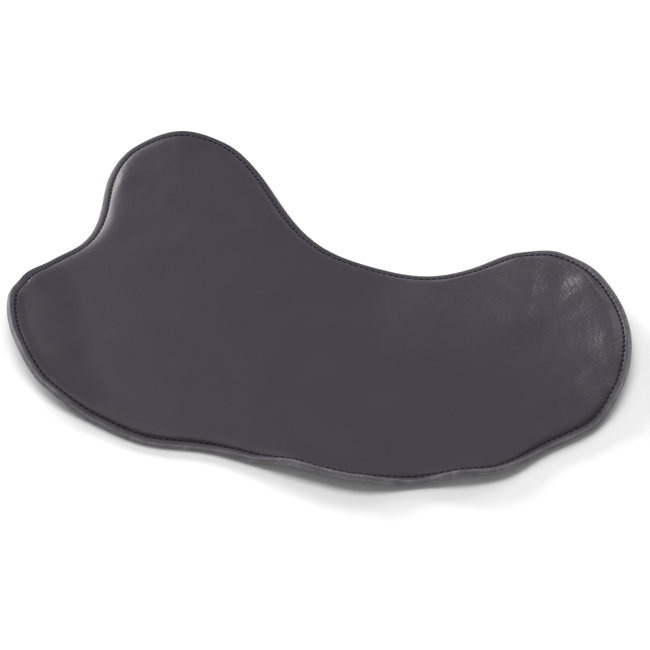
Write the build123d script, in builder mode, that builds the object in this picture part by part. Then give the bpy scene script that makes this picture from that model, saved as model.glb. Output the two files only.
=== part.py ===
"""A free-form leather valet tray: two plies of leather sewn round a thin formable core.

The tray lies on the table with its rim curled up by hand at the two ends and along the front.
Millimetres; +X is to the right, +Y to the back and +Z up. The origin is on the table, under the
middle of the outline.
"""

from build123d import *
import math
import os

# ---- Driving dimensions -------------------------------------------------------------------------
tray_width = 236.0  # left to right
tray_depth = 203.0  # front to back
leather = 1.3  # one ply
core_sheet = 1.2  # the formable sheet between the plies
cement = 0.1  # film of cement between two layers
seam_inset = 2.6  # from the cut edge to the line of stitches
crown_inset = 4.6  # from the cut edge to where the top leather steps up over the core
core_inset = 6.2  # from the cut edge to the edge of the core
core_clearance = 0.3  # round the edge of the core, in its pocket
curl = 1.0  # how far the rim is curled up, as a share of the lifts below
thread = 0.55  # diameter of the sewing thread
stitch_pitch = 2.45  # from one needle hole to the next
stitch_gap = 0.45  # between the ends of two stitches, where the thread goes down
thread_seat = 0.03  # between a stitch and the leather under it

# The rim, clockwise from the left end: where it is, how high it is lifted off the table there,
# and how far in from the edge the lift begins. Drawn for a tray of 236 x 203.
drawn_width, drawn_depth = 236.0, 203.0
rim_stations = [
    (-118, -8, 9.0, 30),  # left end, curled highest
    (-115, 7, 4.5, 27),
    (-104, 22, 0.8, 20),
    (-93, 33, 0.0, 14),  # hollow beside the back lobe
    (-87, 54, 0.0, 12),
    (-85, 75, 0.0, 12),
    (-76, 93, 0.9, 18),
    (-57, 102, 2.3, 25),  # tip of the back lobe
    (-39, 96, 0.9, 18),
    (-26, 80, 0.0, 12),
    (-12, 50, 0.0, 12),
    (3, 29, 0.0, 12),
    (22, 18, 0.0, 12),
    (42, 13, 0.0, 12),  # deepest point of the back edge
    (61, 18, 0.1, 14),
    (79, 26, 1.0, 22),
    (95, 23, 3.3, 36),
    (110, 5, 5.9, 42),
    (118, -27, 6.3, 42),  # right end
    (112, -54, 4.1, 36),
    (100, -72, 1.2, 24),
    (83, -83, 1.0, 16),
    (66, -95, 2.4, 13),
    (52, -98, 3.3, 12),  # short front curl
    (36, -100, 1.0, 12),
    (14, -101, 3.9, 13),  # long front curl
    (-8, -94, 4.0, 13),
    (-25, -88, 1.2, 12),
    (-42, -82, 0.0, 12),
    (-61, -79, 0.0, 12),
    (-82, -68, 0.8, 16),
    (-101, -53, 4.7, 23),
    (-113, -33, 8.5, 29),
]
rim_samples = 720  # points along the rim that the heights are measured from
grid_pitch = 6.0  # of the points that the formed surface is drawn through
grid_margin = 7.0  # how far that surface runs past the outline
base_proud = 0.7  # how far the flat base stands below the rim, so that the lower thread is clear

# ---- Worked out ---------------------------------------------------------------------------------
stretch_x = tray_width / drawn_width
stretch_y = tray_depth / drawn_depth
stations = [
    (x * stretch_x, y * stretch_y, lift * curl, reach * min(stretch_x, stretch_y))
    for x, y, lift, reach in rim_stations
]
bottom_top = base_proud + leather  # the heights of the layers, where the tray is flat
core_bottom = bottom_top + cement
top_bottom = bottom_top + cement
crown_rise = core_sheet + cement
seam_top = top_bottom + leather

os.makedirs("parts", exist_ok=True)

with BuildLine() as rim_line:
    rim = Spline(*[(x, y) for x, y, lift, reach in stations], periodic=True)


def rim_sample(share):
    """The rim's x, y, lift and reach at this share of its parameter, eased between stations."""
    count = len(stations)
    after = next((i for i in range(1, count) if station_shares[i] > share), count)
    first, last = stations[after - 1], stations[after % count]
    start, end = station_shares[after - 1], station_shares[after]
    part = (share - start) / (end - start)
    ease = part * part * (3 - 2 * part)
    place = rim.position_at(share)
    lift = first[2] + (last[2] - first[2]) * ease
    reach = first[3] + (last[3] - first[3]) * ease
    return place.X, place.Y, lift, reach


station_shares = [0.0] + [rim.param_at_point((x, y)) for x, y, lift, reach in stations[1:]] + [1.0]
samples = [rim_sample(i / rim_samples) for i in range(rim_samples)]


def formed_height(x, y):
    """Height of the formed underside over the table at a place in the plan."""
    nearest = min(range(rim_samples), key=lambda i: (samples[i][0] - x) ** 2 + (samples[i][1] - y) ** 2)
    rim_x, rim_y, lift, reach = samples[nearest]
    before, after = samples[nearest - 1], samples[(nearest + 1) % rim_samples]
    along_x, along_y = after[0] - before[0], after[1] - before[1]
    inside = ((x - rim_x) * along_y - (y - rim_y) * along_x) / math.hypot(along_x, along_y)
    inside = max(inside, -grid_margin / 2)
    return lift * (1 - inside / reach) ** 2 if inside < reach else 0.0


def steps(size):
    """Places across the tray, a grid pitch apart, past both sides."""
    half = size / 2 + grid_margin
    count = round(2 * half / grid_pitch)
    return [-half + 2 * half * i / count for i in range(count + 1)]


formed_points = [
    [Vector(x, y, formed_height(x, y)) for y in steps(tray_depth)] for x in steps(tray_width)
]
formed_face = Face.make_surface_from_array_of_points(formed_points, tol=0.01, min_deg=3, max_deg=7)


def inward(station, distance):
    """The place this far inside the rim, straight in from one of its stations."""
    x, y = station[:2]
    tangent = rim.tangent_at(rim.param_at_point((x, y)))
    return x + tangent.Y * distance, y - tangent.X * distance


def layer(low, high, inset):
    """The space from low to high over the formed surface, inside the outline by inset."""
    with BuildPart(mode=Mode.PRIVATE) as space:
        add(Solid.extrude(formed_face.moved(Location((0, 0, low))), Vector(0, 0, high - low)))
        with BuildSketch(Plane.XY.offset(-10)):
            with BuildLine():
                Spline(*[inward(station, inset) for station in stations], periodic=True)
            make_face()
        extrude(amount=60, mode=Mode.INTERSECT)
    return space.part


# ---- Bottom leather: flat under the middle, so that the tray stands firm ------------------------
with BuildPart() as bottom_leather:
    with BuildSketch():
        with BuildLine():
            Spline(*[inward(station, station[3]) for station in stations], periodic=True)
        make_face()
    extrude(amount=leather)
    add(layer(base_proud, bottom_top, 0))
bottom_leather.part.label = "bottom_leather"
export_step(bottom_leather.part, "parts/bottom_leather.step")

# ---- Core: a soft metal sheet that keeps the shape the tray is bent to --------------------------
with BuildPart() as core:
    add(layer(core_bottom, core_bottom + core_sheet, core_inset))
core.part.label = "core"
export_step(core.part, "parts/core.step")

# ---- Top leather: lies on the bottom leather at the rim and steps up over the core --------------
with BuildPart() as top_leather:
    add(layer(top_bottom, top_bottom + leather, 0))
    add(layer(top_bottom + leather / 2, top_bottom + crown_rise + leather, crown_inset))
    add(
        layer(top_bottom - leather / 2, top_bottom + crown_rise, core_inset - core_clearance),
        mode=Mode.SUBTRACT,
    )
top_leather.part.label = "top_leather"
export_step(top_leather.part, "parts/top_leather.step")

# ---- Stitches: one short bar of thread between each two needle holes, above and below -----------
with BuildLine() as seam_line:
    seam = Spline(*[inward(station, seam_inset) for station in stations], periodic=True)
stitch_count = round(seam.length / stitch_pitch)
stitch_length = seam.length / stitch_count - stitch_gap


def seam_planes(face, side):
    """A plane across the thread at the middle of each stitch, seated square on this face."""
    planes = []
    for i in range(stitch_count):
        ends = []
        for share in ((i + 0.25) / stitch_count, (i + 0.75) / stitch_count):
            place = seam.position_at(share, position_mode=PositionMode.PARAMETER)
            tangent = seam.tangent_at(share, position_mode=PositionMode.PARAMETER)
            outer = formed_height(place.X - tangent.Y / 2, place.Y + tangent.X / 2)
            inner = formed_height(place.X + tangent.Y / 2, place.Y - tangent.X / 2)
            seat = (thread / 2 + thread_seat) * math.hypot(1, outer - inner)
            ends.append(Vector(place.X, place.Y, (outer + inner) / 2 + face + side * seat))
        planes.append(Plane(origin=(ends[0] + ends[1]) / 2, z_dir=ends[1] - ends[0]))
    return planes


for name, face, side in (("needle_thread", seam_top, 1), ("bobbin_thread", base_proud, -1)):
    with BuildPart() as stitches:
        with Locations(*seam_planes(face, side)):
            Cylinder(thread / 2, stitch_length)
    stitches.part.label = name
    export_step(stitches.part, f"parts/{name}.step")
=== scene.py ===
# %% [markdown]
# # A free-form leather valet tray
# The real tray is two plies of black leather, sewn together round the edge over a thin formable core,
# and bent by hand so that its rim curls up here and there. It could be modelled as one thick blob with
# a painted seam, but then its edge, its stitches and its underside would all be wrong.
# Here each ply is its own closed panel, and each stitch is its own piece of thread.

# %% Load the frame
import math
import bmesh
import bpy
import numpy as np
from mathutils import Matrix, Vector, geometry, kdtree


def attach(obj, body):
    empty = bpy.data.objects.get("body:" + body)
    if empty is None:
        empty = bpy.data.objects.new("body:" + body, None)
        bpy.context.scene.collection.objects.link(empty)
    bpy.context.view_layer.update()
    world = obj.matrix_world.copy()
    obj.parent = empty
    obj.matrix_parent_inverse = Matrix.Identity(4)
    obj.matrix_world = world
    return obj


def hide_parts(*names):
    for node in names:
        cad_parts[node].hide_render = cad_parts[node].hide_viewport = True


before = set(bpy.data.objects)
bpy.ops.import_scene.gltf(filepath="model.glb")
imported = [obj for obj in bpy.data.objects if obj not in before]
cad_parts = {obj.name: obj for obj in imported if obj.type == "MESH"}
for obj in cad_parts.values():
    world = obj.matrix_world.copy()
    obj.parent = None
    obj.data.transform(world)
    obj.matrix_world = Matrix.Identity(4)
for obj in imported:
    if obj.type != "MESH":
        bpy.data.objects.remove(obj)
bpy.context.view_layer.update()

MM = 0.001

# %% [markdown]
# ## Camera
# The camera stands in front of the tray and looks down at it at 42 degrees. A long lens from a metre
# away keeps the outline nearly as flat as a drawing, which suits a small object on a table.

# %% Camera
CAMERA_ELEVATION = math.radians(42)
CAMERA_DISTANCE = 1.0
CAMERA_LENS = 144.8  # mm, on a 36 mm sensor
camera_target = Vector((0.0025, -0.0125, 0.0))
camera_away = Vector((0, -math.cos(CAMERA_ELEVATION), math.sin(CAMERA_ELEVATION)))
camera_data = bpy.data.cameras.new("camera")
camera_data.lens = CAMERA_LENS
camera_data.sensor_width = 36
camera = bpy.data.objects.new("camera", camera_data)
camera.location = camera_target + camera_away * CAMERA_DISTANCE
camera.rotation_euler = (math.pi / 2 - CAMERA_ELEVATION, 0, 0)
bpy.context.collection.objects.link(camera)
bpy.context.scene.camera = camera

# %% [markdown]
# ## The rim
# The outline has no centre and no symmetry, so it is drawn as a smooth closed curve through a few dozen
# stations, clockwise from the left end. Each station says where the rim is, how far it is lifted there,
# how far in from the edge the lift begins, how much the margin outside the stitches hangs down, or
# turns up where that is negative, and how slack and creased the top leather is inside it.
# These are the CAD model's stations, but for the right end, which is drawn in by 0.4 mm. They are given
# again because the frame holds only finished meshes, and a smooth surface is easier to make from the
# rule than from its facets.

# %% Rim stations
RIM = [  # x, y, lift, reach and droop, mm, and slack, from 0 to 1
    (-118, -8, 9.0, 30, 0.0, 0.1),  # left end, curled highest
    (-115, 7, 4.5, 27, 0.1, 0.1),
    (-104, 22, 0.8, 20, 0.4, 0.0),
    (-93, 33, 0.0, 14, 0.6, 0.0),  # hollow beside the back lobe
    (-87, 54, 0.0, 12, 0.7, 0.1),
    (-85, 75, 0.0, 12, 0.7, 0.2),
    (-76, 93, 0.9, 18, 0.6, 0.2),
    (-57, 102, 2.3, 25, 0.2, 0.1),  # tip of the back lobe
    (-39, 96, 0.9, 18, 0.6, 0.0),
    (-26, 80, 0.0, 12, 0.7, 0.0),
    (-12, 50, 0.0, 12, 0.7, 0.0),
    (3, 29, 0.0, 12, 0.7, 0.0),
    (22, 18, 0.0, 12, 0.7, 0.0),
    (42, 13, 0.0, 12, 0.7, 0.5),  # deepest point of the back edge
    (61, 18, 0.1, 14, 0.6, 0.8),
    (79, 26, 1.0, 22, 0.5, 1.0),
    (95, 23, 3.3, 36, 0.2, 1.0),
    (110, 5, 5.9, 42, 0.0, 1.0),
    (117.6, -27, 6.3, 42, 0.0, 0.8),  # right end
    (112, -54, 4.1, 36, 0.0, 0.5),
    (100, -72, 1.2, 24, 0.2, 0.2),
    (83, -83, 1.0, 16, 0.2, 0.0),
    (66, -95, 2.4, 13, -0.2, 0.0),
    (52, -98, 3.3, 12, -0.4, 0.0),  # short front curl
    (36, -100, 1.0, 12, 0.0, 0.0),
    (14, -101, 3.9, 13, -0.6, 0.0),  # long front curl
    (-8, -94, 4.0, 13, -0.6, 0.0),
    (-25, -88, 1.2, 12, 0.2, 0.0),
    (-42, -82, 0.0, 12, 0.5, 0.0),
    (-61, -79, 0.0, 12, 0.5, 0.0),
    (-82, -68, 0.8, 16, 0.5, 0.0),
    (-101, -53, 4.7, 23, 0.1, 0.0),
    (-113, -33, 8.5, 29, 0.0, 0.1),
]
SLACK_REACH = 62  # how far in from a slack rim the creases die out
SLACK_FULL = 8  # and how far in they are still at their full depth
SEAM_INSET = 2.6  # from the cut edge to the stitches
STITCH_PITCH = 2.45
STITCH_LENGTH = 1.85  # of it, what shows between the needle holes
THREAD = 0.58  # diameter
SEGMENTS_PER_STITCH = 5  # of the leather's mesh, so that a needle hole falls on a vertex
stations = np.array(RIM, float)
print(len(stations), "stations")

# %% [markdown]
# A closed cubic spline through the stations needs one small system of equations, for the slopes at
# the stations. Lift, reach, droop and slack are eased from one station to the next instead, because
# a cubic would overshoot and push the flat stretches of the rim below the table.

# %% Rim curve
chords = np.hypot(*(np.roll(stations[:, :2], -1, 0) - stations[:, :2]).T)
knots = np.concatenate([[0], np.cumsum(chords)])


def closed_spline(points, at):
    """Points on the closed cubic spline through these points, and its slopes, at these knot values."""
    count = len(points)
    ahead = np.roll(points, -1, 0)
    secant = (ahead - points) / chords[:, None]
    system = np.zeros((count, count))
    right = np.zeros((count, 2))
    for i in range(count):
        before, after = chords[i - 1], chords[i]
        system[i, i - 1] = after
        system[i, i] = 2 * (before + after)
        system[i, (i + 1) % count] = before
        right[i] = 3 * (after * secant[i - 1] + before * secant[i])
    slopes = np.linalg.solve(system, right)
    span = np.clip(np.searchsorted(knots, at, side="right") - 1, 0, count - 1)
    h = chords[span][:, None]
    t = ((at - knots[span]) / chords[span])[:, None]
    p, q, m, n = points[span], ahead[span], slopes[span], np.roll(slopes, -1, 0)[span]
    place = p * (2 * t**3 - 3 * t**2 + 1) + q * (3 * t**2 - 2 * t**3)
    place += h * (m * (t**3 - 2 * t**2 + t) + n * (t**3 - t**2))
    slope = (6 * t**2 - 6 * t) * (p - q) / h + m * (3 * t**2 - 4 * t + 1) + n * (3 * t**2 - 2 * t)
    return place, slope


def rim_at(at):
    """The rim at these knot values: place, inward direction, lift, reach, droop and slack."""
    place, slope = closed_spline(stations[:, :2], at)
    slope /= np.linalg.norm(slope, axis=1)[:, None]
    inward = np.stack([slope[:, 1], -slope[:, 0]], 1)
    span = np.clip(np.searchsorted(knots, at, side="right") - 1, 0, len(stations) - 1)
    t = (at - knots[span]) / chords[span]
    ease = (t * t * (3 - 2 * t))[:, None]
    values = stations[span, 2:] * (1 - ease) + np.roll(stations, -1, 0)[span, 2:] * ease
    return place, inward, values


def loop_length(points):
    return float(np.hypot(*(np.roll(points, -1, 0) - points).T).sum())


DENSE_SAMPLES = 6000  # along the rim, to measure its length by
dense = np.linspace(0, knots[-1], DENSE_SAMPLES, endpoint=False)
dense_place, dense_inward, _ = rim_at(dense)
seam_line = dense_place + dense_inward * SEAM_INSET
stitch_count = round(loop_length(seam_line) / STITCH_PITCH)
print("rim", round(loop_length(dense_place), 1), "mm long,", stitch_count, "stitches")

# %% [markdown]
# The mesh follows the seam: its columns are spaced evenly along the line of stitches, five to a
# stitch. Then every needle hole falls on a column, whatever the rim's shape.

# %% Columns along the seam
steps = np.hypot(*(np.roll(seam_line, -1, 0) - seam_line).T)
walked = np.concatenate([[0], np.cumsum(steps)])
column_count = stitch_count * SEGMENTS_PER_STITCH
even = np.linspace(0, walked[-1], column_count, endpoint=False)
column_knots = np.interp(even, walked, np.append(dense, knots[-1]))
column_place, column_inward, column_values = rim_at(column_knots)
edge_slope = 2 * column_values[:, 0] / column_values[:, 1]
edge_cosine = 1 / np.sqrt(1 + edge_slope**2)
print("steepest rim:", round(math.degrees(math.atan(edge_slope.max())), 1), "degrees")

# %% [markdown]
# ## The leather panels
# A ply of leather could be a sheet with a Solidify modifier, but what the eye sees of it is its cut edge:
# thick, a little rounded by burnishing, and square to the curled leather. So each ply is drawn as a
# cross-section, from its middle out over its face, round the cut edge and back in underneath, and that
# section is run round the outline as rings of vertices.

# %% Levels in the stack, while it is still flat
RIM_UNDERSIDE = 0.85  # the sewn margin stands this far off the table, so that the lower thread is clear
BASE_INSETS = 3.2, 8.2  # the underside comes down to the table between these
PLIES_MEET = 2.03
RIM_TOP = 3.2
CORE_TOP = 3.35
CORE_INSETS = 4.3, 6.1  # the back of the top leather rises over the core between these
CROWN_INSET = 2.75  # where the top leather begins to rise
CROWN_RISE = 1.25
PILLOW_WIDTH = 2.3  # how soon the top leather rises from the stitches to its crown
BURNISH = 0.28  # radius of the rounded corners of a cut edge
BACK_BURNISH = 0.85  # share of it at the corner where the two plies meet
FINE = SEGMENTS_PER_STITCH  # columns per stitch in a fine ring; a coarse ring has one
SEAM_RINGS = [0.6, 0.95, 1.3, 1.65, 1.95, 2.2, 2.4, 2.6, 2.8, 3.0, 3.25, 3.55, 3.9]
WIDE_RINGS = [4.4, 4.9, 5.5, 6.1, 6.8, 7.6, 8.6, 9.8, 11.4]
BACK_RINGS = [0.6, 2.4, 4.4, 5.3, 6.1, 8.6, 11.4]
MIDDLE = 99  # an inset past every change of level


def smooth(value, start, end):
    """Eases from 0 to 1 as the value goes from start to end."""
    share = np.clip((value - start) / (end - start), 0, 1)
    return share * share * (3 - 2 * share)


def top_face(inset):
    return RIM_TOP + CROWN_RISE * (1 - math.exp(-max(inset - CROWN_INSET, 0) / PILLOW_WIDTH))


def top_back(inset):
    return PLIES_MEET + (CORE_TOP - PLIES_MEET) * smooth(inset, *CORE_INSETS)


def bottom_face(inset):
    return RIM_UNDERSIDE * (1 - smooth(inset, *BASE_INSETS))


def bottom_back(inset):
    return PLIES_MEET


print("margin", round(RIM_TOP - RIM_UNDERSIDE, 2), "mm thick, crown", CROWN_RISE, "mm over it")

# %% [markdown]
# The thread pulls the leather down along the seam, and most of all at the needle holes. That relief is
# part of the cross-section: the seam's rings lie a little deeper, and the columns at the holes deeper
# still. The foot of the sewing machine leaves a shallow track beside the thread as well.

# %% Relief of the seam
GROOVE_DEPTH, GROOVE_WIDTH = 0.13, 0.6
HOLE_DEPTH, HOLE_WIDTH = 0.3, 0.34
BESIDE_HOLE = 0.25  # share of that depth one column from the hole
phase = np.arange(column_count) % FINE
hole_share = np.select([phase == 0, (phase == 1) | (phase == FINE - 1)], [1.0, BESIDE_HOLE], 0.0)


def seam_relief(inset):
    """How deep the leather is pressed in along a fine ring, column by column."""
    groove = GROOVE_DEPTH * math.exp(-(((inset - SEAM_INSET) / GROOVE_WIDTH) ** 2))
    hole = HOLE_DEPTH * math.exp(-(((inset - SEAM_INSET) / HOLE_WIDTH) ** 2))
    return groove + hole * hole_share


def cross_section(face, back):
    """A ply's section from its middle out, round its edge and back: inset, height, columns, cut."""
    out = 1 if face(0) > back(0) else -1
    section = [(inset, face(inset), 1, False) for inset in reversed(WIDE_RINGS)]
    for inset in reversed(SEAM_RINGS):
        section.append((inset, face(inset) - out * seam_relief(inset), FINE, False))
    turns = [math.radians(angle) for angle in (90, 60, 30, 0)]
    corner = [(BURNISH * (1 - math.sin(turn)), BURNISH * (1 - math.cos(turn))) for turn in turns]
    section += [(inset, face(0) - out * depth, FINE, True) for inset, depth in reversed(corner)]
    section += [(0.0, (face(0) + back(0)) / 2, FINE, True)]
    section += [(inset, back(0) + out * depth * BACK_BURNISH, FINE, True) for inset, depth in corner]
    section += [(inset, back(inset), 1, False) for inset in BACK_RINGS]
    return section


print("hole pressed in", round(float(seam_relief(SEAM_INSET).max()), 2), "mm")

# %% [markdown]
# The middle of each face is filled with an even net of triangles. A grid clipped by the outline would
# leave slivers along it. So places of a triangular net are kept where they are well inside the last
# ring, and Blender's constrained triangulation joins them to it.

# %% Net inside a ring
TOP_NET, UNDERSIDE_NET, BACK_NET = 2.2, 3.5, 5.0  # mm between the places of each net
NET_CLEARANCE = 0.7  # from the ring to the nearest place, as a share of that


def net_places(loop, spacing):
    """Places of an even triangular net inside a closed loop, clear of it."""
    low, high = loop.min(0), loop.max(0)
    places = []
    for row, y in enumerate(np.arange(low[1], high[1], spacing * math.sqrt(0.75))):
        xs = np.arange(low[0] + (row % 2) * spacing / 2, high[0], spacing)
        places.append(np.stack([xs, np.full(len(xs), y)], 1))
    places = np.concatenate(places)
    inside = np.zeros(len(places), bool)
    for a, b in zip(loop, np.roll(loop, -1, 0)):
        crosses = (a[1] > places[:, 1]) != (b[1] > places[:, 1])
        run = (b[0] - a[0]) / (b[1] - a[1]) if b[1] != a[1] else 0.0
        inside ^= crosses & (places[:, 0] < run * (places[:, 1] - a[1]) + a[0])
    places = places[inside]
    clear = np.array([np.hypot(*(loop - place).T).min() for place in places])
    return places[clear > spacing * NET_CLEARANCE]


def join_rings(outer, inner):
    """Faces between two rings. Each edge of a coarse ring gets a fan to the fine ring's edges."""
    if len(outer) == len(inner):
        return [(outer[i - 1], outer[i], inner[i], inner[i - 1]) for i in range(len(outer))]
    few, many = sorted((outer, inner), key=len)
    share = len(many) // len(few)
    faces = []
    for i in range(len(few)):
        a, b = few[i], few[(i + 1) % len(few)]
        run = [many[(i * share + k) % len(many)] for k in range(share + 1)]
        faces += [(run[k], run[k + 1], a if k < share // 2 else b) for k in range(share)]
        faces.append((run[share // 2], b, a))
    return faces


print(len(net_places(column_place[::FINE], BACK_NET)), "places in the widest net, over the whole tray")

# %% [markdown]
# Nothing is bent yet. Each vertex only carries what the bending needs: how far it is from the edge,
# which way is inward there, and the lift, reach, droop and slack of the nearest rim. For the rings
# these are known. For the net they come from the nearest column, found with a k-d tree.

# %% Flat ply
nearest_column = kdtree.KDTree(column_count)
for number, place in enumerate(column_place):
    nearest_column.insert((place[0], place[1], 0), number)
nearest_column.balance()


def plan_inset(inset, columns):
    """The inset in plan of a place this far from the edge along the leather, less where it is steep."""
    level = min(inset / WIDE_RINGS[-1], 1) ** 2
    return inset * (edge_cosine[columns] * (1 - level) + level)


def carry(mesh, inset, column, cut):
    """Stores what the bending reads: at each vertex its inset and its column's rim, and the cut faces."""
    values = column_values[column]
    for label, numbers in (
        ("inset", inset * MM),
        ("lift", values[:, 0] * MM),
        ("reach", values[:, 1] * MM),
        ("droop", values[:, 2] * MM),
        ("slack", values[:, 3] * smooth(-inset, -SLACK_REACH, -SLACK_FULL)),
    ):
        mesh.attributes.new(label, "FLOAT", "POINT").data.foreach_set("value", numbers.astype(np.float32))
    inward = np.column_stack([column_inward[column], np.zeros(len(column))]).astype(np.float32)
    mesh.attributes.new("inward", "FLOAT_VECTOR", "POINT").data.foreach_set("vector", inward.ravel())
    mesh.attributes.new("cut_edge", "BOOLEAN", "FACE").data.foreach_set("value", cut)


def turn_outwards(mesh):
    """Turns the faces of a closed mesh outwards."""
    shell = bmesh.new()
    shell.from_mesh(mesh)
    bmesh.ops.recalc_face_normals(shell, faces=shell.faces)
    assert all(edge.is_manifold for edge in shell.edges), "the ply is open"
    if shell.calc_volume(signed=True) < 0:
        bmesh.ops.reverse_faces(shell, faces=shell.faces)
    shell.to_mesh(mesh)
    shell.free()


def flat_ply(name, face, back, face_spacing):
    """A flat closed ply with the attributes that the bending reads. Returns it and its seam's ring."""
    plan, height, inset, column, faces, cut, rings, seam = [], [], [], [], [], [], [], None
    total = 0
    for ring_inset, ring_height, columns_per_stitch, is_cut in cross_section(face, back):
        columns = np.arange(0, column_count, FINE // columns_per_stitch)
        inner = plan_inset(ring_inset, columns)
        plan.append(column_place[columns] + column_inward[columns] * inner[:, None])
        height.append(np.broadcast_to(ring_height, column_count)[columns])
        inset.append(inner)
        column.append(columns)
        numbers = list(range(total, total + len(columns)))
        total += len(columns)
        if rings:
            made = join_rings(numbers, rings[-1][0])
            faces += made
            cut += [is_cut and rings[-1][1]] * len(made)
        if ring_inset == SEAM_INSET and columns_per_stitch == FINE:
            seam = numbers
        rings.append((numbers, is_cut))
    first, last = rings[0][0], rings[-1][0]
    for ring, level, spacing in ((first, face(MIDDLE), face_spacing), (last, back(MIDDLE), BACK_NET)):
        loop = np.concatenate(plan)[ring[0] : ring[-1] + 1]
        inner = net_places(loop, spacing)
        edges = [(i, (i + 1) % len(loop)) for i in range(len(loop))]
        points = [Vector(place) for place in np.concatenate([loop, inner])]
        joined = geometry.delaunay_2d_cdt(points, edges, [], 1, 1e-6)
        assert len(joined[0]) == len(points), "the net merged two places"
        number = list(ring) + list(range(total, total + len(inner)))
        total += len(inner)
        faces += [tuple(number[i] for i in corners) for corners in joined[2]]
        cut += [False] * len(joined[2])
        found = np.array([nearest_column.find((x, y, 0))[1] for x, y in inner])
        plan.append(inner)
        height.append(np.full(len(inner), level))
        inset.append(((inner - column_place[found]) * column_inward[found]).sum(1))
        column.append(found)
    plan, height = np.concatenate(plan), np.concatenate(height)
    inset, column = np.concatenate(inset), np.concatenate(column)
    mesh = bpy.data.meshes.new(name)
    mesh.from_pydata(np.column_stack([plan, height]) * MM, [], faces)
    carry(mesh, inset, column, cut)
    turn_outwards(mesh)
    panel = bpy.data.objects.new(name, mesh)
    bpy.context.collection.objects.link(panel)
    return panel, seam


top_panel, top_seam = flat_ply("top_leather_panel", top_face, top_back, TOP_NET)
bottom_panel, bottom_seam = flat_ply(
    "bottom_leather_panel", bottom_face, bottom_back, UNDERSIDE_NET
)
print(len(top_panel.data.polygons), "and", len(bottom_panel.data.polygons), "faces")

# %% [markdown]
# ## Helpers for node trees
# Geometry trees and materials are built from the same few moves: make a node, give its inputs a value
# or a link, and take its output. These helpers keep the trees below short enough to read.

# %% Node helpers
def feed(tree, socket, value):
    """Gives a socket a link or a plain value."""
    if isinstance(value, bpy.types.NodeSocket):
        tree.links.new(value, socket)
    elif value is not None:
        socket.default_value = value


def node(tree, kind, settings=None, **inputs):
    """A node with these settings, and these inputs by name with _ for a space."""
    made = tree.nodes.new(kind)
    for name, value in (settings or {}).items():
        setattr(made, name, value)
    for name, value in inputs.items():
        feed(tree, made.inputs[name.replace("_", " ")], value)
    return made


def calc(tree, operation, *values):
    """The output of a Math node, kept between 0 and 1 if its operation is written with a +."""
    settings = {"operation": operation.rstrip("+"), "use_clamp": operation[-1] == "+"}
    made = node(tree, "ShaderNodeMath", settings)
    for socket, value in zip(made.inputs, values):
        feed(tree, socket, value)
    return made.outputs[0]


def combine(tree, operation, *values, scale=None):
    """The output of a Vector Math node."""
    made = node(tree, "ShaderNodeVectorMath", {"operation": operation})
    for socket, value in zip(made.inputs, values):
        feed(tree, socket, value)
    if scale is not None:
        feed(tree, made.inputs["Scale"], scale)
    return made.outputs[0]


def ramp(tree, value, low, high):
    """Eases from 0 to 1 as the value goes from low to high."""
    eased = {"interpolation_type": "SMOOTHSTEP"}
    return node(tree, "ShaderNodeMapRange", eased, Value=value, From_Min=low, From_Max=high).outputs[0]


def attribute(tree, name, kind="FLOAT"):
    """A named attribute of the mesh, in a geometry tree."""
    read = node(tree, "GeometryNodeInputNamedAttribute", {"data_type": kind}, Name=name)
    return read.outputs["Attribute"]


def new_tree(name, inputs):
    """A geometry tree with a mesh input and these named ones, and its group input and output."""
    tree = bpy.data.node_groups.new(name, "GeometryNodeTree")
    tree.interface.new_socket("Geometry", in_out="OUTPUT", socket_type="NodeSocketGeometry")
    tree.interface.new_socket("Geometry", in_out="INPUT", socket_type="NodeSocketGeometry")
    for label, kind in inputs.items():
        tree.interface.new_socket(label, in_out="INPUT", socket_type="NodeSocket" + kind)
    return tree, tree.nodes.new("NodeGroupInput").outputs, tree.nodes.new("NodeGroupOutput").inputs[0]


def run_tree(piece, tree, **values):
    """Runs a tree on a piece with these inputs and turns the result into the piece's own plain mesh."""
    modifier = piece.modifiers.new(tree.name, "NODES")
    modifier.node_group = tree
    for socket in tree.interface.items_tree:
        label = socket.name.replace(" ", "_")
        if socket.in_out == "INPUT" and label in values:
            modifier[socket.identifier] = values[label]
    evaluated = piece.evaluated_get(bpy.context.evaluated_depsgraph_get())
    mesh = bpy.data.meshes.new_from_object(evaluated)
    piece.modifiers.clear()
    piece.data = mesh
    mesh.name = piece.name
    mesh.polygons.foreach_set("use_smooth", [True] * len(mesh.polygons))
    return mesh


print("node helpers:", ", ".join(f.__name__ for f in (feed, node, calc, combine, ramp, attribute)))

# %% [markdown]
# ## Forming the rim
# The shape follows a rule: from the reach inwards the tray is flat, and from there the leather rises as
# a parabola to its lift at the edge. A geometry tree does the bending, because it works on every vertex
# at once and its sizes stay named inputs. It turns the stack's height with the slope, so that the plies
# stay as thick on the curl and their cut edges square to it. Where the rim isn't lifted, its margin
# droops a little, as leather does when nothing holds it up. Where the top leather is slack, it lies in
# broad wrinkles and gathers into puckers beside the seam.

# %% Tree that forms the rim
EVEN_SLACK = 0.08  # of the leather that isn't slack at all
HELD_INSET = 0.003  # m: the seam holds the leather down as far in as this
FREE_INSET = 0.0065  # m: and from here in, it no longer does
PUCKER_INSETS = 0.003, 0.006, 0.0065, 0.014  # m: puckers begin, are full, start to fade and end


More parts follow.
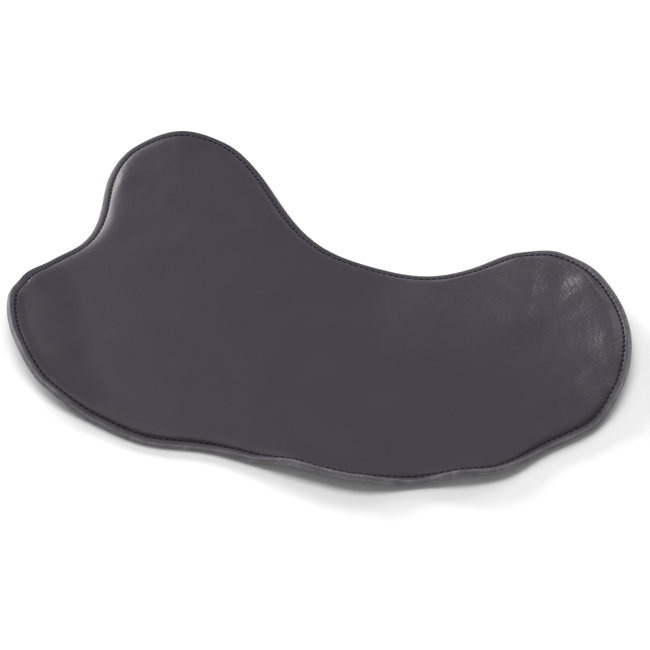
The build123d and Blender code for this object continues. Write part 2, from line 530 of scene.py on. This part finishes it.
def forming_tree():
    tree, given, result = new_tree(
        "form the rim",
        {
            "Curl": "Float",
            "Droop width": "Float",
            "Neutral height": "Float",
            "Wrinkle size": "Float",
            "Wrinkle depth": "Float",
            "Pucker depth": "Float",
            "Leather": "Material",
            "Cut edge": "Material",
        },
    )

    inset, lift, reach = (attribute(tree, name) for name in ("inset", "lift", "reach"))
    droop, inward = attribute(tree, "droop"), attribute(tree, "inward", "FLOAT_VECTOR")
    lift = calc(tree, "MULTIPLY", lift, given["Curl"])
    near = calc(tree, "SUBTRACT+", 1.0, calc(tree, "DIVIDE", inset, reach))
    rise = calc(tree, "MULTIPLY", lift, calc(tree, "POWER", near, 2.0))
    doubled = calc(tree, "MULTIPLY", calc(tree, "MULTIPLY", lift, 2.0), near)
    slope = calc(tree, "DIVIDE", doubled, reach)
    hang = calc(tree, "SUBTRACT+", 1.0, calc(tree, "DIVIDE", inset, given["Droop width"]))
    drop = calc(tree, "MULTIPLY", droop, calc(tree, "POWER", hang, 2.0))
    doubled = calc(tree, "MULTIPLY", calc(tree, "MULTIPLY", droop, 2.0), hang)
    fall = calc(tree, "DIVIDE", doubled, given["Droop width"])
    slope = calc(tree, "SUBTRACT", slope, fall)

    place = node(tree, "GeometryNodeInputPosition").outputs[0]
    parts = node(tree, "ShaderNodeSeparateXYZ", Vector=place).outputs
    plan = node(tree, "ShaderNodeCombineXYZ", X=parts[0], Y=parts[1]).outputs[0]
    noise = node(tree, "ShaderNodeTexNoise", Vector=plan, Detail=2.0, Roughness=0.45, Distortion=0.6)
    feed(tree, noise.inputs["Scale"], calc(tree, "DIVIDE", 1.0, given["Wrinkle size"]))
    slack = calc(tree, "ADD", EVEN_SLACK, attribute(tree, "slack"))
    slack = calc(tree, "MULTIPLY", slack, ramp(tree, inset, HELD_INSET, FREE_INSET))
    wrinkle = calc(tree, "MULTIPLY", ramp(tree, noise.outputs[0], 0.35, 0.7), slack)
    wrinkle = calc(tree, "MULTIPLY", wrinkle, given["Wrinkle depth"])

    begin, full, fade, end = PUCKER_INSETS
    faded = calc(tree, "SUBTRACT", 1.0, ramp(tree, inset, fade, end))
    ridge = calc(tree, "MULTIPLY", ramp(tree, inset, begin, full), faded)
    elsewhere = combine(tree, "ADD", plan, (0.31, 0.17, 0))
    gathers = node(tree, "ShaderNodeTexNoise", Vector=elsewhere, Scale=48.0, Detail=1.0)
    pucker = calc(tree, "MULTIPLY", ramp(tree, gathers.outputs[0], 0.4, 0.65), ridge)
    pucker = calc(tree, "MULTIPLY", pucker, attribute(tree, "slack"))
    wrinkle = calc(tree, "ADD", wrinkle, calc(tree, "MULTIPLY", pucker, given["Pucker depth"]))

    above = calc(tree, "ADD", calc(tree, "SUBTRACT", parts[2], given["Neutral height"]), wrinkle)
    normal = combine(tree, "SCALE", inward, scale=slope)
    normal = combine(tree, "NORMALIZE", combine(tree, "ADD", normal, (0, 0, 1)))
    level = calc(tree, "ADD", calc(tree, "SUBTRACT", rise, drop), given["Neutral height"])
    middle = combine(tree, "ADD", plan, node(tree, "ShaderNodeCombineXYZ", Z=level).outputs[0])
    formed = combine(tree, "ADD", middle, combine(tree, "SCALE", normal, scale=above))

    bent = node(tree, "GeometryNodeSetPosition", Geometry=given["Geometry"], Position=formed).outputs[0]
    real = node(tree, "GeometryNodeRealizeInstances", Geometry=bent).outputs[0]
    faced = node(tree, "GeometryNodeSetMaterial", Geometry=real, Material=given["Leather"]).outputs[0]
    edges = node(tree, "GeometryNodeSetMaterial", Geometry=faced, Material=given["Cut edge"])
    feed(tree, edges.inputs["Selection"], attribute(tree, "cut_edge", "BOOLEAN"))
    tree.links.new(edges.outputs[0], result)
    return tree


form_the_rim = forming_tree()
print("tree with", len(form_the_rim.nodes), "nodes")

# %% [markdown]
# ## Grain, wear and lint
# The leather is a soft, nearly matt hide. Its grain is small pebbles with finer pores, and broad cloudy
# patches where it took the dye unevenly. The same grain serves both plies and, finer, the cut edge and the
# thread, so it is a node group that puts out a height for bump and a shade for the colour. That shade is the
# uneven dye, with painted shade in the pits between the pebbles and a painted highlight on their tops.

# %% Shader group helper
def new_group(name, inputs, outputs):
    """A shader group with these named inputs and outputs, and its input's and output's sockets."""
    tree = bpy.data.node_groups.new(name, "ShaderNodeTree")
    for label, kind in outputs.items():
        tree.interface.new_socket(label, in_out="OUTPUT", socket_type="NodeSocket" + kind)
    for label, (kind, value) in inputs.items():
        socket = tree.interface.new_socket(label, in_out="INPUT", socket_type="NodeSocket" + kind)
        if value is not None:
            socket.default_value = value
    return tree, tree.nodes.new("NodeGroupInput").outputs, tree.nodes.new("NodeGroupOutput").inputs


def mix_color(tree, factor, first, second, blend="MIX"):
    """The colour output of a Mix node, whose colour inputs come after those of its other types."""
    made = node(tree, "ShaderNodeMix", {"data_type": "RGBA", "blend_type": blend})
    feed(tree, made.inputs[0], factor)
    feed(tree, made.inputs[6], first)
    feed(tree, made.inputs[7], second)
    return made.outputs[2]


def bend_places(tree, place, scale, reach):
    """A small random shift from place to place, up to half the reach each way."""
    noise = node(tree, "ShaderNodeTexNoise", Vector=place, Detail=1.0)
    feed(tree, noise.inputs["Scale"], scale)
    centred = combine(tree, "SUBTRACT", noise.outputs["Color"], (0.5, 0.5, 0.5))
    return combine(tree, "SCALE", centred, scale=reach)


print("shader helpers:", ", ".join(f.__name__ for f in (new_group, mix_color, bend_places)))

# %% Grain
def grain_group():
    tree, given, result = new_group(
        "hide grain",
        {"Place": ("Vector", None), "Pebble size": ("Float", 0.0011), "Cloud size": ("Float", 0.02)},
        {"Height": "Float", "Shade": "Float"},
    )
    fine = calc(tree, "DIVIDE", 1.0, given["Pebble size"])
    bend = bend_places(tree, given["Place"], fine, given["Pebble size"])
    moved = combine(tree, "ADD", given["Place"], bend)
    pebbles = node(tree, "ShaderNodeTexVoronoi", {"feature": "F1"}, Vector=moved, Scale=fine)
    pores = node(tree, "ShaderNodeTexNoise", Vector=given["Place"], Detail=3.0, Roughness=0.65)
    feed(tree, pores.inputs["Scale"], calc(tree, "MULTIPLY", fine, 2.2))
    clouds = node(tree, "ShaderNodeTexNoise", Vector=given["Place"], Detail=3.0, Roughness=0.55)
    feed(tree, clouds.inputs["Scale"], calc(tree, "DIVIDE", 1.0, given["Cloud size"]))
    dome = calc(tree, "SUBTRACT", 1.0, pebbles.outputs["Distance"])
    pitted = calc(tree, "MULTIPLY", pores.outputs[0], 0.4)
    height = calc(tree, "ADD", calc(tree, "MULTIPLY", dome, 0.6), pitted)
    shade = calc(tree, "MULTIPLY", calc(tree, "SUBTRACT", clouds.outputs[0], 0.5), 0.5)
    # Painted shade and highlight: the pits between the pebbles are darker in colour and their tops lighter.
    painted_pebble_shade = calc(tree, "MULTIPLY", calc(tree, "SUBTRACT", height, 0.45), 0.25)
    shade = calc(tree, "ADD", shade, painted_pebble_shade)
    tree.links.new(height, result["Height"])
    tree.links.new(calc(tree, "ADD", 1.0, shade), result["Shade"])
    return tree


hide_grain = grain_group()
print(hide_grain.name, "with", len(hide_grain.nodes), "nodes")

# %% [markdown]
# Loose fibres and pocket lint catch the light as tiny pale specks. They are rare on the smooth
# face and common on a cut edge, where the loose fibres of the leather show. A cell pattern gives each
# cell one speck at most, and a random number for each cell says whether it has one.

# %% Lint
def lint_group():
    tree, given, result = new_group(
        "lint",
        {
            "Place": ("Vector", None),
            "Spacing": ("Float", 0.004),
            "Speck size": ("Float", 0.1),
            "Share of cells": ("Float", 0.3),
            "Stretch": ("Vector", (1.0, 1.0, 1.0)),
        },
        {"Speck": "Float"},
    )
    scale = calc(tree, "DIVIDE", 1.0, given["Spacing"])
    bend = bend_places(tree, given["Place"], calc(tree, "MULTIPLY", scale, 3.0), given["Spacing"])
    stretched = combine(tree, "MULTIPLY", given["Place"], given["Stretch"])
    moved = combine(tree, "ADD", stretched, combine(tree, "SCALE", bend, scale=0.5))
    cells = node(tree, "ShaderNodeTexVoronoi", {"feature": "F1"}, Vector=moved, Scale=scale)
    chance = node(tree, "ShaderNodeSeparateColor", Color=cells.outputs["Color"]).outputs[0]
    size = calc(tree, "MULTIPLY", given["Speck size"], calc(tree, "ADD", 0.4, chance))
    near = calc(tree, "LESS_THAN", cells.outputs["Distance"], size)
    has = calc(tree, "LESS_THAN", chance, given["Share of cells"])
    tree.links.new(calc(tree, "MULTIPLY", near, has), result["Speck"])
    return tree


lint = lint_group()
print(lint.name, "with", len(lint.nodes), "nodes")

# %% [markdown]
# Handling wears a leather edge: the dye thins towards the cut, and the outer part of the margin is a
# little greyer than the rest. The wear reads how far each place is from the cut, which the mesh
# already carries as an attribute, so it follows the outline whatever its shape.

# %% Edge wear
def wear_group():
    tree, given, result = new_group(
        "edge wear",
        {"Place": ("Vector", None), "Width": ("Float", 0.0025), "Patch size": ("Float", 0.003)},
        {"Wear": "Float"},
    )
    inset = node(tree, "ShaderNodeAttribute", {"attribute_name": "inset"}).outputs["Fac"]
    patches = node(tree, "ShaderNodeTexNoise", Vector=given["Place"], Detail=4.0, Roughness=0.6)
    feed(tree, patches.inputs["Scale"], calc(tree, "DIVIDE", 1.0, given["Patch size"]))
    near = calc(tree, "SUBTRACT+", 1.0, calc(tree, "DIVIDE", inset, given["Width"]))
    patchy = ramp(tree, patches.outputs[0], 0.3, 0.7)
    tree.links.new(calc(tree, "MULTIPLY+", near, calc(tree, "ADD", 0.35, patchy)), result["Wear"])
    return tree


edge_wear = wear_group()
print(edge_wear.name, "with", len(edge_wear.nodes), "nodes")

# %% [markdown]
# ## Materials
# The face of the leather is charcoal with a trace of violet, matt, with a weak waxy gloss. Only things
# that change over the surface come through nodes. Everything that is the same all over is set on the
# shader itself.

# %% Leather
LINT_GREY = (0.30, 0.29, 0.29, 1)


def new_material(name, **plain):
    """A material and its shader, with these plain values on the shader's own sockets."""
    material = bpy.data.materials.new(name)
    material.use_nodes = True
    shader = material.node_tree.nodes["Principled BSDF"]
    for label, value in plain.items():
        shader.inputs[label.replace("_", " ")].default_value = value
    return material, material.node_tree, shader


def use_group(tree, group, **inputs):
    return node(tree, "ShaderNodeGroup", {"node_tree": group}, **inputs).outputs


def object_place(tree):
    return node(tree, "ShaderNodeTexCoord").outputs["Object"]


def mesh_value(tree, name):
    return node(tree, "ShaderNodeAttribute", {"attribute_name": name}).outputs["Fac"]


def leather_material(name, color, worn_and_sheen_color, grain_depth):
    material, tree, shader = new_material(name, Specular_IOR_Level=0.3)
    place = object_place(tree)
    slack = mesh_value(tree, "slack")
    grain = use_group(tree, hide_grain, Place=place, Pebble_size=0.0010, Cloud_size=0.022)
    worn = use_group(tree, edge_wear, Place=place, Width=0.0016, Patch_size=0.004)["Wear"]
    sparse = {"Spacing": 0.009, "Speck_size": 0.03, "Share_of_cells": 0.22}
    specks = use_group(tree, lint, Place=place, **sparse)["Speck"]
    shade = {channel: grain["Shade"] for channel in ("Red", "Green", "Blue")}
    shade = node(tree, "ShaderNodeCombineColor", **shade).outputs[0]
    dye_and_painted_light = mix_color(tree, 1.0, (*color, 1), shade, "MULTIPLY")
    # Edge wear, made stronger where the leather is slack. Painted sheen: where the top leather is slack, its
    # lighter grain is mixed towards the same pale grey, standing in for broad gloss patches.
    worn = calc(tree, "MULTIPLY+", worn, calc(tree, "ADD", 0.5, slack))
    painted_sheen = calc(tree, "MULTIPLY", slack, calc(tree, "SUBTRACT+", grain["Shade"], 0.78))
    dye_and_painted_light = mix_color(tree, calc(tree, "ADD+", worn, painted_sheen), dye_and_painted_light, (*worn_and_sheen_color, 1))
    dusty = mix_color(tree, calc(tree, "MULTIPLY", specks, 0.6), dye_and_painted_light, LINT_GREY)
    feed(tree, shader.inputs["Base Color"], dusty)
    rough = calc(tree, "SUBTRACT", 0.54, calc(tree, "MULTIPLY", slack, 0.09))
    rough = calc(tree, "SUBTRACT", rough, calc(tree, "MULTIPLY", grain["Shade"], 0.04))
    feed(tree, shader.inputs["Roughness"], rough)
    flat = {"noise_dimensions": "2D"}
    creases = node(tree, "ShaderNodeTexNoise", flat, Vector=place, Scale=260.0, Detail=3.0, Roughness=0.6)
    creases = calc(tree, "MULTIPLY", creases.outputs[0], calc(tree, "MULTIPLY", slack, 2.2))
    coarser = calc(tree, "ADD", 0.5, calc(tree, "MULTIPLY", slack, 1.7))
    grained = calc(tree, "MULTIPLY", grain["Height"], coarser)
    relief = calc(tree, "ADD", grained, creases)
    bump = node(tree, "ShaderNodeBump", Height=relief, Strength=1.0, Distance=grain_depth)
    feed(tree, shader.inputs["Normal"], bump.outputs[0])
    return material


top_finish = leather_material(
    "black leather", (0.0195, 0.0145, 0.0240), (0.085, 0.077, 0.090), grain_depth=0.00010
)
bottom_finish = leather_material(
    "black leather underside", (0.021, 0.0165, 0.0255), (0.08, 0.073, 0.084), grain_depth=0.00008
)
print(top_finish.name, "and", bottom_finish.name)

# %% [markdown]
# A cut edge of leather isn't smooth: the blade leaves a tangle of fibres, which take the edge dye
# unevenly and catch the light. The specks are squeezed in height, so that they lie along the cut.

# %% Cut edge
def cut_edge_material():
    fibrous = {"Roughness": 0.85, "Specular_IOR_Level": 0.2, "Sheen_Weight": 0.25, "Sheen_Roughness": 0.6}
    material, tree, shader = new_material("cut leather edge", **fibrous)
    place = object_place(tree)
    grain = use_group(tree, hide_grain, Place=place, Pebble_size=0.0004, Cloud_size=0.005)
    dense_lint = {"Spacing": 0.0005, "Speck_size": 0.36, "Share_of_cells": 0.45, "Stretch": (1, 1, 1.6)}
    fibre = use_group(tree, lint, Place=place, **dense_lint)["Speck"]
    # The grain's shade is the uneven edge dye plus painted shade between its bumps and a painted highlight
    # on them.
    shade = ramp(tree, grain["Shade"], 0.72, 1.28)
    dye_and_painted_light = mix_color(tree, shade, (0.045, 0.041, 0.050, 1), (0.20, 0.190, 0.210, 1))
    rough_cut = mix_color(tree, calc(tree, "MULTIPLY", fibre, 0.5), dye_and_painted_light, (0.42, 0.41, 0.43, 1))
    feed(tree, shader.inputs["Base Color"], rough_cut)
    bump = node(tree, "ShaderNodeBump", Height=grain["Height"], Strength=1.0, Distance=0.00022)
    feed(tree, shader.inputs["Normal"], bump.outputs[0])
    return material


cut_finish = cut_edge_material()
print(cut_finish.name)

# %% Form both plies
RIM_INPUTS = {
    "Curl": 1.0,
    "Droop_width": 0.005,
    "Neutral_height": PLIES_MEET * MM,
    "Wrinkle_size": 0.020,
    "Cut_edge": cut_finish,
}
SLACK_TOP = {"Wrinkle_depth": 0.0012, "Pucker_depth": 0.0012}
TIGHT_BOTTOM = {"Wrinkle_depth": 0.0, "Pucker_depth": 0.0}
top_mesh = run_tree(top_panel, form_the_rim, Leather=top_finish, **SLACK_TOP, **RIM_INPUTS)
bottom_mesh = run_tree(bottom_panel, form_the_rim, Leather=bottom_finish, **TIGHT_BOTTOM, **RIM_INPUTS)
for panel in (top_panel, bottom_panel):
    heights = [vertex.co.z / MM for vertex in panel.data.vertices]
    print(panel.name, round(min(heights), 2), "to", round(max(heights), 2), "mm high")

# %% [markdown]
# ## Stitches
# The seam is a lockstitch of black waxed thread: on each face one short bar of thread between each two
# needle holes, dipping into the leather at its ends. The bars repeat, so a geometry tree makes one and
# copies it along the seam. Its places are read from the formed leather itself, from the ring of
# vertices under the seam, so the thread lies on the leather wherever the rim curls.

# %% Places of the stitches
def seam_places(name, mesh, seam):
    """A point for each stitch, on the leather between two needle holes, with its direction and normal."""
    places = np.empty(len(mesh.vertices) * 3)
    mesh.vertices.foreach_get("co", places)
    places = places.reshape(-1, 3)[seam]
    normals = np.array([mesh.vertices[i].normal for i in seam])
    holes = places[::FINE]
    along = np.roll(holes, -1, 0) - holes
    middle = (places[FINE // 2 :: FINE] + places[FINE // 2 + 1 :: FINE]) / 2
    normal = (normals[FINE // 2 :: FINE] + normals[FINE // 2 + 1 :: FINE]) / 2
    points = bpy.data.meshes.new(name)
    points.from_pydata(middle, [], [])
    for label, vectors in (("along", along), ("normal", normal)):
        values = vectors.astype(np.float32).ravel()
        points.attributes.new(label, "FLOAT_VECTOR", "POINT").data.foreach_set("vector", values)
    piece = bpy.data.objects.new(name, points)
    bpy.context.collection.objects.link(piece)
    print(name, len(middle), "stitches of", round(float(np.linalg.norm(along, axis=1).mean()) / MM, 2), "mm")
    return piece


needle_stitches = seam_places("needle_stitches", top_mesh, top_seam)
bobbin_stitches = seam_places("bobbin_stitches", bottom_mesh, bottom_seam)

# %% [markdown]
# One bar of thread is a short curve, bowed down at both ends, with a round section that narrows where
# it goes into the holes. Its distance along the thread is kept as an attribute, for the twist.

# %% Tree that sews the seam
BAR_POINTS = 8  # along one bar, and round it
DIP_POWER, TAPER_POWER = 4.0, 6.0  # how late the bar dips and narrows, on its way to the holes
END_TAPER = 0.45  # share of its thickness that it loses at the holes


def thread_bar(tree, given):
    """One bar of thread, from hole to hole along X."""
    half = calc(tree, "MULTIPLY", given["Stitch"], 0.5)
    start = node(tree, "ShaderNodeCombineXYZ", X=calc(tree, "MULTIPLY", half, -1.0)).outputs[0]
    end = node(tree, "ShaderNodeCombineXYZ", X=half).outputs[0]
    line = node(tree, "GeometryNodeCurvePrimitiveLine", Start=start, End=end).outputs[0]
    line = node(tree, "GeometryNodeResampleCurve", Curve=line, Count=BAR_POINTS).outputs[0]
    factor = node(tree, "GeometryNodeSplineParameter").outputs["Factor"]
    from_middle = calc(tree, "ABSOLUTE", calc(tree, "SUBTRACT", calc(tree, "MULTIPLY", factor, 2.0), 1.0))
    late = calc(tree, "POWER", from_middle, DIP_POWER)
    dip = calc(tree, "MULTIPLY", late, calc(tree, "MULTIPLY", given["Dip"], -1.0))
    bowed = node(tree, "ShaderNodeCombineXYZ", Z=calc(tree, "ADD", dip, given["Seat"])).outputs[0]
    line = node(tree, "GeometryNodeSetPosition", Geometry=line, Offset=bowed).outputs[0]
    narrow = calc(tree, "MULTIPLY", calc(tree, "POWER", from_middle, TAPER_POWER), END_TAPER)
    taper = calc(tree, "SUBTRACT", 1.0, narrow)
    radius = calc(tree, "MULTIPLY", given["Thread"], 0.5)
    ring = node(tree, "GeometryNodeCurvePrimitiveCircle", Resolution=BAR_POINTS, Radius=radius).outputs[0]
    kept = {"data_type": "FLOAT", "domain": "POINT"}
    line = node(tree, "GeometryNodeStoreNamedAttribute", kept, Geometry=line, Name="along_thread")
    feed(tree, line.inputs["Value"], calc(tree, "MULTIPLY", factor, given["Stitch"]))
    bar = node(tree, "GeometryNodeCurveToMesh", Curve=line.outputs[0], Profile_Curve=ring)
    feed(tree, bar.inputs["Scale"], taper)
    bar.inputs["Fill Caps"].default_value = True
    return bar.outputs[0]


def sewing_tree():
    tree, given, result = new_tree(
        "sew the seam",
        {
            "Thread": "Float",
            "Stitch": "Float",
            "Seat": "Float",
            "Dip": "Float",
            "Slant": "Float",
            "Seed": "Int",
            "Finish": "Material",
        },
    )
    bar = thread_bar(tree, given)
    turn = node(tree, "FunctionNodeAxesToRotation", {"primary_axis": "Z", "secondary_axis": "X"})
    feed(tree, turn.inputs["Primary Axis"], attribute(tree, "normal", "FLOAT_VECTOR"))
    feed(tree, turn.inputs["Secondary Axis"], attribute(tree, "along", "FLOAT_VECTOR"))
    slant = node(tree, "FunctionNodeRandomValue", {"data_type": "FLOAT"}, Seed=given["Seed"])
    lowest, highest = slant.inputs[2:4]  # of a random plain number
    feed(tree, lowest, calc(tree, "MULTIPLY", given["Slant"], 0.4))
    feed(tree, highest, calc(tree, "MULTIPLY", given["Slant"], 1.6))
    spin = node(tree, "ShaderNodeCombineXYZ", Z=slant.outputs[1]).outputs[0]
    spin = node(tree, "FunctionNodeEulerToRotation", Euler=spin).outputs[0]
    own = {"rotation_space": "LOCAL"}
    turned = node(tree, "FunctionNodeRotateRotation", own, Rotation=turn.outputs[0], Rotate_By=spin)
    points = node(tree, "GeometryNodeMeshToPoints", Mesh=given["Geometry"]).outputs[0]
    bars = node(tree, "GeometryNodeInstanceOnPoints", Points=points, Instance=bar)
    feed(tree, bars.inputs["Rotation"], turned.outputs[0])
    real = node(tree, "GeometryNodeRealizeInstances", Geometry=bars.outputs[0]).outputs[0]
    done = node(tree, "GeometryNodeSetMaterial", Geometry=real, Material=given["Finish"]).outputs[0]
    tree.links.new(done, result)
    return tree


sew_the_seam = sewing_tree()
print("tree with", len(sew_the_seam.nodes), "nodes")

# %% [markdown]
# The thread is two strands twisted together and waxed. Ridges across it stand for the twist, and loose
# fibres break up its highlight. The ridges are also painted lighter at their crests and darker in their
# grooves, a painted highlight and shade.

# %% Thread
TWIST = 0.00055  # m from one ridge to the next


def thread_material():
    material, tree, shader = new_material("black waxed thread", Roughness=0.65, Specular_IOR_Level=0.25)
    place = object_place(tree)
    along = mesh_value(tree, "along_thread")
    turns = calc(tree, "SINE", calc(tree, "MULTIPLY", along, 2 * math.pi / TWIST))
    grain = use_group(tree, hide_grain, Place=place, Pebble_size=0.0003, Cloud_size=0.006)
    loose = {"Spacing": 0.0012, "Speck_size": 0.25, "Share_of_cells": 0.15}
    fuzz = use_group(tree, lint, Place=place, **loose)["Speck"]
    # Painted highlight and shade: the twist's sine lightens the ridges' crests and darkens their grooves.
    shade = calc(tree, "ADD", grain["Shade"], calc(tree, "MULTIPLY", turns, 0.12))
    shade = ramp(tree, shade, 0.7, 1.35)
    dye_and_painted_light = mix_color(tree, shade, (0.004, 0.0035, 0.0045, 1), (0.015, 0.014, 0.016, 1))
    fuzzy = mix_color(tree, calc(tree, "MULTIPLY", fuzz, 0.4), dye_and_painted_light, (0.16, 0.155, 0.16, 1))
    feed(tree, shader.inputs["Base Color"], fuzzy)
    bump = node(tree, "ShaderNodeBump", Height=turns, Strength=0.6, Distance=0.00006)
    feed(tree, shader.inputs["Normal"], bump.outputs[0])
    return material


thread_finish = thread_material()
SEWING = {
    "Thread": THREAD * MM,
    "Stitch": STITCH_LENGTH * MM,
    "Slant": math.radians(4),
    "Finish": thread_finish,
}
run_tree(needle_stitches, sew_the_seam, Seat=0.00014, Dip=0.00045, Seed=3, **SEWING)
run_tree(bobbin_stitches, sew_the_seam, Seat=0.00010, Dip=0.00040, Seed=8, **SEWING)
for piece in (needle_stitches, bobbin_stitches):
    lowest = min(vertex.co.z for vertex in piece.data.vertices) / MM
    print(piece.name, len(piece.data.polygons), "faces, lowest", round(lowest, 2), "mm")

# %% [markdown]
# ## Core
# Between the plies lies a soft aluminium sheet, which keeps the shape that the tray is bent to. Nobody
# sees it, but it stays as its own piece with its own finish: milled metal with faint rolling lines.

# %% Core finish
def core_material():
    material, tree, shader = new_material("soft aluminium sheet", Metallic=1.0)
    drawn = combine(tree, "MULTIPLY", object_place(tree), (60.0, 2200.0, 60.0))
    lines = node(tree, "ShaderNodeTexNoise", Vector=drawn, Scale=1.0, Detail=3.0).outputs[0]
    metal = mix_color(tree, lines, (0.52, 0.53, 0.54, 1), (0.74, 0.75, 0.76, 1))
    feed(tree, shader.inputs["Base Color"], metal)
    feed(tree, shader.inputs["Roughness"], calc(tree, "ADD", 0.28, calc(tree, "MULTIPLY", lines, 0.22)))
    bump = node(tree, "ShaderNodeBump", Height=lines, Strength=0.3, Distance=0.00002)
    feed(tree, shader.inputs["Normal"], bump.outputs[0])
    return material


core_finish = core_material()
core_sheet = bpy.data.objects["core"]
core_sheet.data.materials.clear()
core_sheet.data.materials.append(core_finish)

# %% [markdown]
# ## What each piece is
# The panels and stitches ride on the tray's only body and stand for their CAD nodes.

# %% Ride and replace
for piece, part, finish in (
    (top_panel, "top_leather", "leather_top"),
    (bottom_panel, "bottom_leather", "leather_bottom"),
    (needle_stitches, "needle_thread", "thread"),
    (bobbin_stitches, "bobbin_thread", "thread"),
):
    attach(piece, "root")
    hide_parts(part)
print("four pieces ride on the tray")

# %% [markdown]
# ## Table and light
# A plain white table under soft studio light. The main light is broad and overhead, where the flat
# leather doesn't mirror it. A low one at the back left grazes the leather, lights the flanks that face
# it and casts the soft shadows to the front right. Two weaker ones, at the back right and in front,
# and an even dome fill them.

# %% Table
TABLE_SIZE = 6  # m
TABLE_GAP = 0.0001  # m under the tray's flat base, so that the two faces don't coincide
bpy.ops.mesh.primitive_plane_add(size=TABLE_SIZE, location=(0, 0, -TABLE_GAP))
table = bpy.context.object
table.name = "table"
table_finish, _, table_shader = new_material("white table", Roughness=0.9, Specular_IOR_Level=0.1)
table_shader.inputs["Base Color"].default_value = (0.86, 0.86, 0.86, 1)
table.data.materials.append(table_finish)
print("table", [round(side, 1) for side in table.dimensions[:2]], "m")

# %% Lights
def soft_light(name, place, size, power):
    """A square area light at this place, turned towards the tray."""
    data = bpy.data.lights.new(name, "AREA")
    data.shape = "SQUARE"
    data.size = size
    data.energy = power
    light = bpy.data.objects.new(name, data)
    light.location = place
    light.rotation_euler = (-Vector(place)).to_track_quat("-Z", "Y").to_euler()
    bpy.context.collection.objects.link(light)
    return light


soft_light("main light", (-0.2, 0.1, 1.9), 1.2, 22)
soft_light("low side light", (-1.2, 1.5, 0.62), 0.8, 46)
soft_light("back light", (1.0, 1.5, 1.1), 0.8, 12)
soft_light("front fill", (0.4, -1.7, 1.1), 1.4, 7)
world = bpy.data.worlds.new("studio")
bpy.context.scene.world = world
world.use_nodes = True
world.node_tree.nodes["Background"].inputs["Color"].default_value = (1, 1, 1, 1)
world.node_tree.nodes["Background"].inputs["Strength"].default_value = 0.28
bpy.context.scene.view_settings.view_transform = "Standard"
